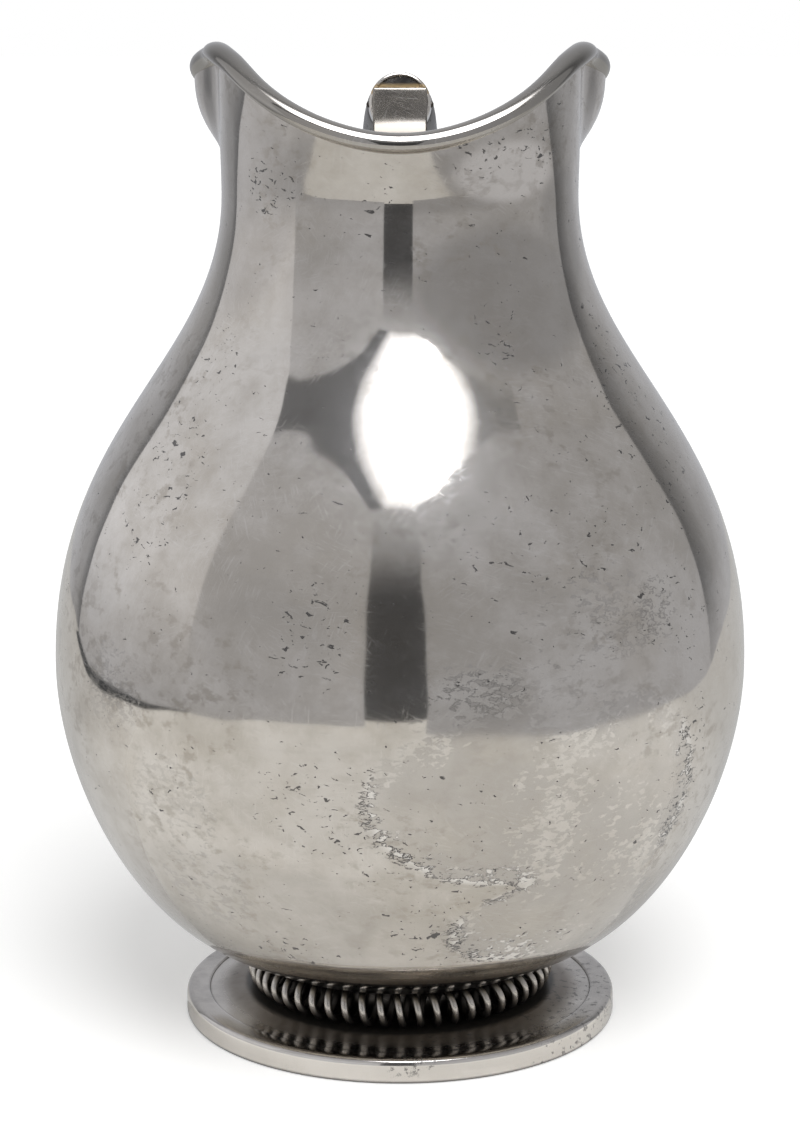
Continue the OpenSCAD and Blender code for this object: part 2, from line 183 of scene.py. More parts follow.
def tube(rows, columns):
    """Faces of a tube of rings, with both its ends."""
    total = rows * columns
    ends = [tuple(reversed(range(columns))), tuple(range(total - columns, total))]
    return bands(rows, columns, False) + ends


def inside_out(faces):
    """The same faces, seen from the other side."""
    return [tuple(reversed(f)) for f in faces]


def around(angle, r, z):
    """Point at an angle in degrees from the front, a radius and a height."""
    return r * sin(radians(angle)), -r * cos(radians(angle)), z


def turned(outline, segments):
    """The points of an outline of radius and height, turned about the axis."""
    return [around(360 * j / segments, r, z) for r, z in outline for j in range(segments)]


def lathe(outline):
    """A closed outline turned to a ring. It runs anticlockwise in the plane of radius and height."""
    return turned(outline, SEGMENTS), bands(len(outline), SEGMENTS, True)


def on_axis(points, seat, tilt):
    """Moves points whose axis is z on to a ferrule's seat."""
    y0, z0 = seat
    c, s = cos(radians(tilt)), sin(radians(tilt))
    return [(x, y0 + c * z - s * y, z0 - s * z - c * y) for x, y, z in points]


# Materials

class Shader:
    """A material with one principled shader, and short calls to add nodes to it."""

    def __init__(self, name):
        self.material = bpy.data.materials.new(name)
        self.material.use_nodes = True
        self.tree = self.material.node_tree
        self.bsdf = self.tree.nodes["Principled BSDF"]
        self.place = self.add("TexCoord").outputs["Object"]

    def add(self, kind, settings=None, **inputs):
        """A node with its settings and inputs. An input has its name, or i0, i1 and so on for its place."""
        node = self.tree.nodes.new("ShaderNode" + kind)
        for key, value in (settings or {}).items():
            setattr(node, key, value)
        for key, value in inputs.items():
            by_place = key[0] == "i" and key[1:].isdigit()
            self.put(node.inputs[int(key[1:]) if by_place else key], value)
        return node

    def put(self, socket, value):
        if isinstance(value, bpy.types.NodeSocket):
            self.tree.links.new(value, socket)
        else:
            socket.default_value = value

    def set(self, **inputs):
        for key, value in inputs.items():
            self.put(self.bsdf.inputs[key.replace("_", " ")], value)

    def noise(self, scale, detail=4.0, roughness=0.55, place=None, distortion=0.0):
        n = self.add("TexNoise", None, Scale=scale, Detail=detail, Roughness=roughness, Distortion=distortion)
        self.put(n.inputs["Vector"], self.place if place is None else place)
        return n.outputs["Fac"]

    def moved(self, scale, rotation=(0, 0, 0)):
        """Places turned first and then scaled, so that a stretched noise lies along the turned axes."""
        m = self.add("Mapping", {"vector_type": "TEXTURE"}, Scale=tuple(1.0 / c for c in scale),
                     Rotation=tuple(radians(a) for a in rotation))
        self.put(m.inputs["Vector"], self.place)
        return m.outputs["Vector"]

    def math(self, operation, a, b=0.0, c=0.0):
        return self.add("Math", {"operation": operation}, i0=a, i1=b, i2=c).outputs[0]

    def span(self, value, low, high, to_low=0.0, to_high=1.0):
        """Goes softly from one amount to another while the value goes from low to high."""
        n = self.add("MapRange", {"interpolation_type": "SMOOTHSTEP", "clamp": True}, i0=value, i1=low,
                     i2=high, i3=to_low, i4=to_high)
        return n.outputs[0]

    def blend(self, share, a, b):
        n = self.add("Mix", {"data_type": "RGBA", "clamp_factor": True})
        self.put(n.inputs[0], share)
        for socket, value in ((n.inputs[6], a), (n.inputs[7], b)):
            self.put(socket, value if isinstance(value, bpy.types.NodeSocket) else (*value, 1.0))
        return n.outputs[2]

    def attribute(self, name):
        return self.add("Attribute", {"attribute_name": name}).outputs["Fac"]

    def bump(self, height, strength, distance, under=None):
        n = self.add("Bump", None, Height=height, Strength=strength, Distance=distance)
        if under is not None:
            self.put(n.inputs["Normal"], under)
        return n.outputs["Normal"]

    def axis(self, name):
        """One coordinate, in metres."""
        return self.add("SeparateXYZ", None, i0=self.place).outputs[name]

    def flattened(self, axes):
        """Places with some of their coordinates set to zero."""
        return self.add("VectorMath", {"operation": "MULTIPLY"}, i0=self.place, i1=axes).outputs[0]

    def radius(self):
        """Distance from the pitcher's axis, in metres."""
        flat = self.flattened((1.0, 1.0, 0.0))
        return self.add("VectorMath", {"operation": "LENGTH"}, i0=flat).outputs["Value"]

    def distance(self, place, point):
        """Distance of a place from a point, in metres."""
        return self.add("VectorMath", {"operation": "DISTANCE"}, i0=place, i1=point).outputs["Value"]


# Colours of old silver, of what lies on it, and of painted shade
SILVER = (0.72, 0.675, 0.615)
CLOUD_TONE, BROWN_TONE, STREAK_TONE = (0.48, 0.435, 0.37), (0.47, 0.4, 0.3), (0.42, 0.39, 0.35)
SCRATCH_TONE, SPECK_TONE = (0.9, 0.87, 0.83), (0.09, 0.08, 0.07)
TARNISH_TONE, BARE_TONE, DAPPLE_TONE = (0.30, 0.275, 0.245), (0.88, 0.82, 0.745), (0.40, 0.355, 0.295)
CLEAN_TONE, FILM_TONE, PIT_TONE = (0.86, 0.825, 0.775), (0.49, 0.458, 0.42), (0.06, 0.055, 0.052)
HEEL_TONE, HEEL_SEAM_TONE = (0.3, 0.275, 0.24), (0.4, 0.32, 0.2)
# The black serves for dirt and for painted shadow; the dull silver, the ear tone and the root tone are
# painted shade
BLACK_DIRT_AND_SHADE, GREY_DIRT, BROWN_DIRT = (0.045, 0.04, 0.035), (0.13, 0.125, 0.12), (0.24, 0.2, 0.16)
DULL_SHADED_SILVER, EAR_SHADE_TONE, ROOT_SHADE_TONE = (0.4, 0.375, 0.345), (0.24, 0.225, 0.2), (0.12, 0.108, 0.092)
OLD_SOLDER = (0.55, 0.39, 0.19)
RIM_SILVER, FOOT_SILVER = (0.42, 0.397, 0.365), (0.9, 0.855, 0.795)
STEM_SILVER, STRAP_SILVER = (0.12, 0.11, 0.1), (0.24, 0.223, 0.2)

# Colours of the wood and the pins
WOOD_DARK, WOOD_LIGHT, WOOD_PORE = (0.016, 0.0145, 0.014), (0.052, 0.043, 0.037), (0.006, 0.0055, 0.005)
PIN_BLACK, PIN_RUST = (0.035, 0.033, 0.032), (0.12, 0.1, 0.085)

# The haze that fine scratches make over the mirror, as a rough clear coat
HAZE_ROUGHNESS, HAZE_IOR = 0.28, 1.75

# Hair lines: how far each set is turned and leans, in degrees, and how fine it is
SCRATCH_SETS = ((8, 20, 3600.0), (52, 0, 3200.0), (-38, 30, 3400.0), (-74, -20, 3100.0), (88, 40, 3500.0))


def scratches(s):
    """Hair lines in five directions, from 0 to 1."""
    lines = None
    for turn, lean, fineness in SCRATCH_SETS:
        along = s.moved((240.0, 240.0, fineness), (turn, lean, 25))
        line = s.span(s.noise(1.0, 1.0, 0.4, along), 0.6, 0.72)
        gate = s.span(s.noise(75.0, 2.0, 0.5, s.moved((1.0, 1.0, 1.0), (turn, 30, 20))), 0.46, 0.62)
        line = s.math("MULTIPLY", line, gate)
        lines = line if lines is None else s.math("MAXIMUM", lines, line)
    return lines


def flaking(s, amount, dark):
    """An old film that flakes off: where it holds, and the lines where it ends, black where dark is high."""
    flakes = s.noise(1.0, 5.0, 0.62, s.moved((450.0, 450.0, 820.0)), 0.4)
    patchy = s.math("MULTIPLY", amount, s.span(s.noise(40.0, 3.0, 0.6), 0.35, 0.65, 0.75, 1.4))
    field = s.math("MULTIPLY_ADD", s.math("SUBTRACT", flakes, 0.5), 1.9, patchy)
    skin = s.span(field, 0.5, 0.56)
    line = s.span(s.math("ABSOLUTE", s.math("SUBTRACT", field, 0.51)), 0.02, 0.085, 1.0, 0.0)
    margin = s.span(s.math("ABSOLUTE", s.math("SUBTRACT", amount, 0.45)), 0.08, 0.24, 1.0, 0.15)
    margin = s.math("MULTIPLY", margin, s.span(dark, 0.1, 0.45, 0.1, 1.0))
    return skin, s.math("MULTIPLY", line, margin)


def flecks(s, amount):
    """Small dark pits, closer together where amount is higher."""
    pits = s.noise(1.0, 3.0, 0.55, s.moved((470.0, 470.0, 900.0), (0, 7, 31)), 0.7)
    return s.span(s.math("MULTIPLY_ADD", amount, 0.15, pits), 0.7, 0.725, 0.0, 0.92)


def silver(name, base=SILVER, tarnish=0.75, worn=False, grime_and_shade=None, roughness=0.045, waves=0.35, haze=0.6):
    """Old polished silver: clouds of tarnish, fine scratches, their haze, and specks.

    Each layer, of grime or of painted shade, has an amount, a tone, and how much rougher it makes the metal.
    """
    s = Shader(name)
    clouds = s.noise(17.0, 6.0, 0.6, distortion=0.4)
    mottle = s.noise(95.0, 5.0, 0.65)
    cloud = s.span(s.math("MULTIPLY_ADD", mottle, 0.4, s.math("MULTIPLY", clouds, 0.75)), 0.46, 0.7)
    colour = s.blend(s.math("MULTIPLY", cloud, tarnish), base, CLOUD_TONE)
    brown = s.span(s.noise(41.0, 5.0, 0.6, distortion=0.3), 0.47, 0.7, 0.0, 0.3)
    colour = s.blend(s.math("MULTIPLY", brown, tarnish), colour, BROWN_TONE)
    streaks = s.noise(1.0, 4.0, 0.6, s.moved((26.0, 26.0, 320.0)))
    colour = s.blend(s.span(streaks, 0.5, 0.75, 0.0, 0.13), colour, STREAK_TONE)
    lines = scratches(s)
    colour = s.blend(s.math("MULTIPLY", lines, 0.16), colour, SCRATCH_TONE)
    rough = s.math("MULTIPLY_ADD", cloud, 0.025, roughness)
    rough = s.math("MULTIPLY_ADD", lines, 0.05, rough)
    normal = s.bump(s.noise(24.0, 2.0, 0.5), waves, 0.0012)
    if worn:
        colour, rough, normal = wear(s, colour, rough, normal)
    specks = s.span(s.noise(1100.0, 2.0, 0.5), 0.72, 0.77)
    specks = s.math("MULTIPLY", specks, s.span(s.noise(38.0, 3.0, 0.6), 0.5, 0.66))
    colour = s.blend(specks, colour, SPECK_TONE)
    if grime_and_shade is not None:
        # Each layer blends in its grime or its painted shade
        for dirt_and_shade, tone, dull in grime_and_shade(s):
            colour = s.blend(dirt_and_shade, colour, tone)
            rough = s.math("MULTIPLY_ADD", dirt_and_shade, dull, rough)
    s.set(Base_Color=colour, Metallic=1.0, Roughness=rough, Normal=normal)
    s.set(Coat_Weight=haze, Coat_Roughness=HAZE_ROUGHNESS, Coat_IOR=HAZE_IOR)
    return s.material


def wear(s, colour, rough, normal):
    """What the body has besides: tarnish, bare places, dapples, the flaking film, pits, and a brown heel."""
    colour = s.blend(s.attribute("tarnish"), colour, TARNISH_TONE)
    colour = s.blend(s.attribute("polish"), colour, BARE_TONE)
    dapple = s.span(s.noise(1.0, 4.0, 0.6, s.moved((230.0, 230.0, 330.0))), 0.5, 0.66)
    dapple = s.math("MULTIPLY", dapple, s.span(s.noise(26.0, 3.0, 0.6), 0.47, 0.62, 0.1, 0.7))
    colour = s.blend(dapple, colour, DAPPLE_TONE)
    dark = s.attribute("flecks")
    film = s.attribute("film")
    skin, edge = flaking(s, film, dark)
    clean = s.math("MULTIPLY", s.span(film, 0.3, 0.5), s.math("SUBTRACT", 1.0, skin))
    clean = s.math("MULTIPLY", clean, s.span(dark, 0.15, 0.4, 0.22, 0.85))
    colour = s.blend(clean, colour, CLEAN_TONE)
    share = s.span(s.noise(34.0, 4.0, 0.6), 0.36, 0.64, 0.2, 0.68)
    colour = s.blend(s.math("MULTIPLY", skin, share), colour, FILM_TONE)
    rough = s.math("MULTIPLY_ADD", skin, 0.05, rough)
    pits = s.math("MAXIMUM", edge, flecks(s, dark))
    colour = s.blend(pits, colour, PIT_TONE)
    rough = s.math("MULTIPLY_ADD", pits, 0.3, rough)
    normal = s.bump(s.math("MULTIPLY", pits, -1.0), 0.06, 0.00004, normal)
    z = s.axis("Z")
    heel = s.span(z, (FLOOR_Z + 3.0) * MM, (FLOOR_Z + 7.5) * MM, 0.55, 0.0)
    colour = s.blend(heel, colour, HEEL_TONE)
    seam = s.span(z, (FLOOR_Z + 0.1) * MM, (FLOOR_Z + 0.7) * MM, 0.7, 0.0)
    colour = s.blend(seam, colour, HEEL_SEAM_TONE)
    return colour, rough, normal


def foot_grime_and_shade(s):
    """A top face darkened with painted shade and made duller, dirt that polishing leaves near the coil, a
    dark line in the groove, and black painted shadow round the coil's base and along the lower edge.
    """
    r, z = s.radius(), s.axis("Z")
    coil = s.span(r, (COIL_OUTER_R + 2.5) * MM, (FOOT_INNER_R - 1.0) * MM, 0.95, 0.0)
    coil = s.math("MULTIPLY", coil, s.span(s.noise(45.0, 5.0, 0.65), 0.35, 0.6, 0.7, 1.0))
    # Painted shadow: black round the coil's base on the dish
    shade = s.span(r, (COIL_OUTER_R - 0.5) * MM, (COIL_OUTER_R + 1.2) * MM, 0.95, 0.0)
    groove = s.span(s.math("ABSOLUTE", s.math("SUBTRACT", r, FOOT_INNER_R * MM)), 0.0001, 0.0006, 0.3, 0.0)
    groove = s.math("MULTIPLY", groove, s.span(s.noise(60.0, 5.0, 0.65), 0.35, 0.6, 0.4, 1.0))
    # Painted shade: the top face is darkened towards a dull tone, and made rougher
    top = s.span(z, (FOOT_H - 1.2) * MM, (FOOT_H - 0.3) * MM, 0.0, 1.0)
    top = s.math("MULTIPLY", top, s.span(s.noise(70.0, 5.0, 0.65), 0.36, 0.64, 0.6, 1.0))
    spots = s.span(s.noise(560.0, 4.0, 0.65), 0.56, 0.63, 0.0, 0.75)
    spots = s.math("MULTIPLY", spots, s.span(s.noise(32.0, 2.0, 0.5), 0.5, 0.57))
    # Painted contact shadow: black along the lower edge of the ring
    contact_shadow = s.span(z, 0.0003, 0.001, 0.8, 0.0)
    # The black mixes these painted shadows with the dark line in the groove
    black = s.math("MAXIMUM", contact_shadow, s.math("MAXIMUM", groove, shade))
    return ((top, DULL_SHADED_SILVER, 0.1), (coil, BROWN_DIRT, 0.45), (spots, GREY_DIRT, 0.3),
            (black, BLACK_DIRT_AND_SHADE, 0.3))


def coil_grime_and_shade(s):
    """The wire is polished outside, black with tarnish inside, and darkened below with painted shade."""
    dirt_and_shade = s.span(s.radius(), (COIL_R + 1.6) * MM, (COIL_OUTER_R - 0.1) * MM, 0.95, 0.1)
    # Painted shade: the lower half of the wire is darkened
    low = s.span(s.axis("Z"), (COIL_Z - 3.6) * MM, (COIL_Z + 0.4) * MM, 0.9, 0.0)
    return (s.math("MAXIMUM", dirt_and_shade, low), BLACK_DIRT_AND_SHADE, 0.3),


def rim_side_shade(s):
    """Painted shade: the rim is darkened, and made rougher, from the middle of its front to the ears."""
    x = s.math("ABSOLUTE", s.axis("X"))
    # Painted shade that dims the rim and its highlight towards the ears
    return (s.span(x, 0.012, 0.046, 0.0, 0.85), EAR_SHADE_TONE, 0.1),


def cap_shade_and_solder(s):
    """The flat face of a cap is darkened nearly to black with painted shade, with a line of yellow solder
    above the strap's tip.
    """
    # Painted shade over the cap's flat face
    dirt_and_shade = s.math("MULTIPLY", s.attribute("dirt_and_shade"), s.span(s.noise(240.0, 4.0, 0.6), 0.3, 0.6, 0.7, 0.95))
    flat = s.flattened((0.0, 1.0, 1.0))
    upper, lower = (s.span(s.distance(flat, (0.0, y * MM, z * MM)), 0.0008, 0.0017, 0.9, 0.0)
                    for y, z in STRAP_TIPS)
    return (dirt_and_shade, BLACK_DIRT_AND_SHADE, 0.2), (s.math("MAXIMUM", upper, lower), OLD_SOLDER, 0.15)


def strap_root_shade(s):
    """Painted shade near each strap's root."""
    z = s.axis("Z")
    # Painted shade: darker up to a few millimetres above each root
    upper, lower = (s.span(z, (root[1] + 4.0) * MM, (root[1] + 7.5) * MM, 0.9, 0.0)
                    for root in (UPPER_ROOT, LOWER_ROOT))
    lower = s.math("MAXIMUM", lower, s.math("GREATER_THAN", z, NECK_Z * MM))
    return (s.math("MULTIPLY", upper, lower), ROOT_SHADE_TONE, 0.05),


def black_wood():
    """Dark wood with fine grain and open pores, worn dull in places."""
    s = Shader("ebony_wood")
    grain = s.noise(1.0, 5.0, 0.6, s.moved((420.0, 70.0, 55.0)), 0.3)
    pores = s.span(s.noise(1.0, 2.0, 0.5, s.moved((1500.0, 200.0, 160.0))), 0.63, 0.7)
    colour = s.blend(s.span(grain, 0.35, 0.75), WOOD_DARK, WOOD_LIGHT)
    colour = s.blend(s.math("MULTIPLY", pores, 0.7), colour, WOOD_PORE)
    worn = s.span(s.noise(45.0, 4.0, 0.6), 0.45, 0.75)
    rough = s.math("MULTIPLY_ADD", worn, 0.16, s.math("MULTIPLY_ADD", pores, 0.2, 0.27))
    height = s.math("MULTIPLY_ADD", grain, 0.3, s.math("MULTIPLY", pores, -1.0))
    s.set(Base_Color=colour, Roughness=rough, Normal=s.bump(height, 0.25, 0.0001))
    return s.material


def pin_metal():
    """Blackened metal with a little rust."""
    s = Shader("pin_metal")
    rust = s.noise(700.0, 4.0, 0.6)
    colour = s.blend(s.span(rust, 0.4, 0.7), PIN_BLACK, PIN_RUST)
    rough = s.span(rust, 0.3, 0.7, 0.25, 0.5)
    s.set(Base_Color=colour, Metallic=1.0, Roughness=rough, Normal=s.bump(rust, 0.2, 0.00005))
    return s.material


# Body with its mouth

SLOPE = (cos(radians(BASE_SLOPE)), sin(radians(BASE_SLOPE)))
HEEL_REACH = (BASE_D / 2 - COIL_R) / 2
HEEL = [(COIL_R, FLOOR_Z), (COIL_R + HEEL_REACH, FLOOR_Z),
        (BASE_D / 2 - HEEL_REACH * SLOPE[0], BASE_Z - HEEL_REACH * SLOPE[1]), (BASE_D / 2, BASE_Z)]
BOWL = [(BASE_D / 2, BASE_Z), (BASE_D / 2 + BASE_REACH * SLOPE[0], BASE_Z + BASE_REACH * SLOPE[1]),
        (BELLY_D / 2, BELLY_Z - BELLY_LOW_REACH), (BELLY_D / 2, BELLY_Z)]
SHOULDER = [(BELLY_D / 2, BELLY_Z), (BELLY_D / 2, BELLY_Z + BELLY_UP_SHARE * NECK_RISE),
            (NECK_R, NECK_Z - NECK_SHARE * NECK_RISE), (NECK_R, NECK_Z)]


def rim_rise(a):
    """Height of the rim's middle above the neck, at an angle from the front."""
    if a < PEAK_ANGLE:
        return mix(FRONT_RISE, PEAK_RISE, sin(radians(90 * a / PEAK_ANGLE)) ** 2)
    return mix(BACK_RISE, PEAK_RISE, sin(radians(90 * (180 - a) / (180 - PEAK_ANGLE))) ** 2)


def ear_share(a):
    """Share of an ear's flare at an angle: none at the pinch, all at the ear, some at the back."""
    if a < EAR_ANGLE:
        return smooth((a - PINCH_ANGLE) / (EAR_ANGLE - PINCH_ANGLE))
    return 1 - (1 - BACK_FLARE / EAR_FLARE) * smooth((a - EAR_ANGLE) / (180 - EAR_ANGLE))


def lip_flare(a):
    """How far the lip leans out at the rim: the front's slope, fading to the pinch at the sides."""
    slope = FRONT_FLARE / (FRONT_RISE - RIM_SEAT - LIP_BEND / 2)
    slope *= 1 - smooth((a - LIP_FULL_ANGLE) / LIP_FADE_ANGLE)
    return PINCH_FLARE * smooth(a / PINCH_FADE_ANGLE) + slope * (rim_rise(a) - RIM_SEAT - LIP_BEND / 2)


def lip_lean(a, z):
    """How far the lip leans out at an angle and a height: a short bend, then a straight slope."""
    up = min(max(z - NECK_Z, 0.0), LIP_BEND)
    rise = up * up / (2 * LIP_BEND) + max(z - NECK_Z - LIP_BEND, 0.0)
    return lip_flare(a) * rise / (rim_rise(a) - RIM_SEAT - LIP_BEND / 2)


def ear_profile(t):
    """Share of an ear's flare at a height, for t from 0 at the neck to 1 at the rim, with a soft start."""
    u = (t - EAR_START) / (1 - EAR_START)
    soft = min((u + sqrt(u * u + EAR_SOFTNESS)) / 2, 1.0)
    return (1 - (1 - soft) ** EAR_SWELL) * smooth(t / EAR_START)


def mouth_point(angle, t, depth):
    """Point of the mouth at an angle and a share of its height, a depth inside its outer face."""
    a = abs(angle)
    z = NECK_Z + (rim_rise(a) - RIM_SEAT) * t
    r = NECK_R + lip_lean(a, z) + EAR_FLARE * ear_share(a) * ear_profile(t)
    return around(angle, r - depth, z)


def wall_point(angle, profile, t, depth):
    """Point of the wall at an angle and a share of a curve, a depth inside its outer face."""
    r, z = curve(profile, t)
    d = curve_direction(profile, t)
    return around(angle, r - depth * d[1] + lip_lean(abs(angle), z), z + depth * d[0])


def rim_middle_r(a):
    out = mix(RIM_OUT_FRONT, RIM_OUT_EAR, ear_share(a))
    return NECK_R + lip_flare(a) + EAR_FLARE * ear_share(a) + out


def rim_width(a):
    return mix(RIM_W, RIM_EAR_W, ear_share(a))


# Patches on the body: angle from the front, height, half width and half height in millimetres, and strength
FILM_PATCHES = (
    (14, 75, 29, 20, 0.64), (38, 70, 25, 26, 0.6), (32, 42, 28, 13, 0.64), (20, 62, 26, 9, 0.6),
    (15, 97, 26, 9, 0.4), (34, 112, 26, 12, 0.3), (-40, 68, 14, 14, 0.42), (-37, 50, 14, 12, 0.42),
    (-52, 92, 12, 12, 0.36), (150, 59, 34, 20, 0.55), (-120, 81, 30, 24, 0.5),
)
FLECK_PATCHES = (
    (-7, 72, 7, 14, 0.36), (-2, 61, 14, 8, 0.42), (5, 42, 9, 10, 0.46), (54, 72, 8, 20, 0.5),
    (14, 54, 14, 6, 0.36), (30, 109, 22, 9, 0.22), (12, 98, 12, 6, 0.26), (50, 110, 14, 11, 0.32),
    (26, 130, 30, 12, 0.26), (-44, 201, 9, 8, 0.62), (-8, 199, 5, 4, 0.7), (30, 208, 22, 6, 0.6),
    (27, 170, 6, 8, 0.45), (-14, 109, 10, 13, 0.56), (-15, 73, 9, 13, 0.5), (-21, 34, 12, 5, 0.6),
    (-50, 135, 12, 18, 0.42), (-50, 162, 7, 9, 0.42), (62, 150, 12, 26, 0.4), (20, 36, 20, 6, 0.4),
    (-160, 139, 26, 22, 0.5), (110, 149, 24, 20, 0.5), (170, 189, 16, 8, 0.55), (-110, 62, 16, 18, 0.3),
)
TARNISH_PATCHES = (
    (33, 177, 24, 16, 0.6), (62, 190, 10, 14, 0.45), (-56, 198, 18, 26, 0.38), (140, 120, 40, 30, 0.2),
    (-12, 205, 24, 8, 0.3), (-4, 199, 30, 4, 0.34), (-20, 186, 14, 20, 0.2), (-22, 108, 16, 12, 0.18),
    (-98, 210, 3, 14, 0.55), (98, 210, 3, 14, 0.55), (-32, 44, 40, 16, 0.26), (-5, 36, 26, 10, 0.28),
    (-12, 76, 26, 14, 0.12),
)
POLISH_PATCHES = ((35, 204, 14, 7, 0.95), (1, 35, 9, 11, 0.25))

# A patch is full up to the first share of its half size, and fades out over the second
PATCH_FULL, PATCH_FADE = 0.75, 0.4

# Each attribute's patches, and its amount elsewhere
PATCHES = (("film", FILM_PATCHES, 0.1), ("flecks", FLECK_PATCHES, 0.05),
           ("tarnish", TARNISH_PATCHES, 0.0), ("polish", POLISH_PATCHES, 0.0))


def patch_amount(patches, rest, point):
    """The strongest of the patches at a point, or the amount elsewhere."""
    x, y, z = point
    angle, r = degrees(atan2(x, -y)), hypot(x, y)
    amount = rest
    for patch_angle, height, width, tall, strength in patches:
        turn = (angle - patch_angle + 180) % 360 - 180
        d = hypot(r * radians(turn) / width, (z - height) / tall)
        amount = max(amount, mix(rest, strength, 1 - smooth((d - PATCH_FULL) / PATCH_FADE)))
    return amount


def wall_rows(steps):
    """Curve and share of each row of the wall, from the heel to the neck."""
    rows = [(HEEL, 0.0)]
    for profile, count in zip((HEEL, BOWL, SHOULDER), steps):
        rows += [(profile, i / count) for i in range(1, count + 1)]
    return rows


def make_body():
    """The outer wall from the bottom up, the mouth, and the inner wall back down."""
    angles = [360 * j / SEGMENTS - 180 for j in range(SEGMENTS)]
    inside_rows = range(MOUTH_INNER_STEPS, 0, -1)
    rows = [[around(a, BOTTOM_R, FLOOR_Z) for a in angles]]
    rows += [[wall_point(a, p, t, 0) for a in angles] for p, t in wall_rows(OUTER_STEPS)]
    rows += [[mouth_point(a, i / MOUTH_STEPS, 0) for a in angles] for i in range(1, MOUTH_STEPS + 1)]
    rows += [[mouth_point(a, i / MOUTH_INNER_STEPS, WALL) for a in angles] for i in inside_rows]
    rows += [[wall_point(a, p, t, WALL) for a in angles] for p, t in reversed(wall_rows(INNER_STEPS))]
    rows += [[around(a, BOTTOM_R, FLOOR_Z + WALL) for a in angles]]
    points = [p for row in rows for p in row]
    faces = bands(len(rows), SEGMENTS, False)
    last = len(points) - SEGMENTS
    points += [(0, 0, FLOOR_Z), (0, 0, FLOOR_Z + WALL)]
    for j in range(SEGMENTS):
        k = (j + 1) % SEGMENTS
        faces.append((k, j, len(points) - 2))
        faces.append((last + j, last + k, len(points) - 1))
    obj = piece("pitcher_body", points, faces, SILVER_BODY, "body", "silver")
    for name, patches, rest in PATCHES:
        give_values(obj, name, [patch_amount(patches, rest, p) for p in points])


def make_rim():
    """An oval bead swept round the mouth."""
    points = []
    for j in range(SEGMENTS):
        angle = 360 * j / SEGMENTS - 180
        a = abs(angle)
        r, z = rim_middle_r(a), NECK_Z + rim_rise(a)
        for k in range(RIM_SIDES):
            turn = 2 * pi * k / RIM_SIDES
            across, up = rim_width(a) / 2 * cos(turn), RIM_H / 2 * sin(turn)
            points.append(around(angle, r + across, z + up - RIM_SINK))
    faces = inside_out(bands(SEGMENTS, RIM_SIDES, True))
    piece("rim_bead", points, faces, SILVER_RIM, "rim_wire", "silver")


# Foot with the coil

def make_foot():
    """The ring, the dish that rises inside it, and the stem."""
    r = FOOT_D / 2
    ring = [(FOOT_INNER_R, 0), (r, 0), (r, FOOT_H), (FOOT_INNER_R, FOOT_H)]
    piece("foot_ring_polished", *lathe(rounded(ring, FOOT_ROUNDINGS)), SILVER_FOOT, "foot_ring", "silver")
    inner = COIL_OUTER_R + DISH_LAND
    shares = [i / DISH_STEPS for i in range(DISH_STEPS + 1)]
    top = [(mix(FOOT_INNER_R, inner, t), DISH_TOP - DISH_RISE * (1 - t ** 2)) for t in shares]
    top.append((STEM_D / 2 - STEM_T, DISH_TOP))
    dish = [(x, z - DISH_T) for x, z in reversed(top)] + top
    piece("foot_dish_polished", *lathe(dish), SILVER_FOOT, "foot_dish", "silver")
    outer, bore = STEM_D / 2, STEM_D / 2 - STEM_T
    stem = [(bore, DISH_TOP), (outer, DISH_TOP), (outer, FLOOR_Z), (bore, FLOOR_Z)]
    piece("foot_stem_tube", *lathe(stem), SILVER_STEM, "foot_stem", "dark_silver")


def coil_middle(share):
    """Point on the middle of the coiled wire, at a share of its length."""
    turn = 2 * pi * COIL_TURNS * share
    r, z = COIL_R + COIL_PATH_R * cos(turn), COIL_Z - COIL_PATH_R * sin(turn)
    return Vector(around(360 * share - 180, r, z))


def make_coil():
    """One wire, coiled and bent round to a closed ring."""
    count = COIL_TURNS * COIL_STEPS
    points = []
    for i in range(count):
        share = i / count
        p = coil_middle(share)
        along = (coil_middle(share + 0.5 / count) - coil_middle(share - 0.5 / count)).normalized()
        away = p - Vector(around(360 * share - 180, COIL_R, COIL_Z))
        u = (away - away.dot(along) * along).normalized()
        v = u.cross(along)
        for k in range(COIL_SIDES):
            turn = 2 * pi * k / COIL_SIDES
            points.append(tuple(p + WIRE_D / 2 * (u * cos(turn) + v * sin(turn))))
    faces = inside_out(bands(count, COIL_SIDES, True))
    piece("coiled_wire", points, faces, SILVER_COIL, "coil_ring", "silver")


# Handle

def strap_path(root, lead, tilt):
    """Middle line of a strap as points, directions and thicknesses, from inside its root to its tip."""
    sweep = 90 - tilt
    path = [((root[0] - STRAP_INSET, root[1]), 0.0, STRAP_ROOT_T), (root, 0.0, STRAP_ROOT_T)]
    for i in range(1, LEAD_STEPS + 1):
        thick = mix(STRAP_ROOT_T, STRAP_T, smooth(i / LEAD_STEPS))
        path.append(((root[0] + lead * i / LEAD_STEPS, root[1]), 0.0, thick))
    for i in range(1, BEND_STEPS + 1):
        turn = sweep * i / BEND_STEPS
        y = root[0] + lead + STRAP_BEND * sin(radians(turn))
        path.append(((y, root[1] + STRAP_BEND * (1 - cos(radians(turn)))), turn, STRAP_T))
    y, z = path[-1][0]
    c, s = cos(radians(sweep)), sin(radians(sweep))
    for i in range(1, END_STEPS + 1):
        d = (STRAP_END - STRAP_TIP_R) * i / END_STEPS
        path.append(((y + d * c, z + d * s), sweep, STRAP_T))
    return path, (c, s)


def strap_ring(p, turn, width, thick, corner):
    """Section of a strap across its middle line."""
    n = (-sin(radians(turn)), cos(radians(turn)))
    w, h = width / 2, thick / 2
    section = rounded([(-w, -h), (w, -h), (w, h), (-w, h)], corner, STRAP_CORNER_STEPS)
    return [(x, p[0] + up * n[0], p[1] + up * n[1]) for x, up in section]


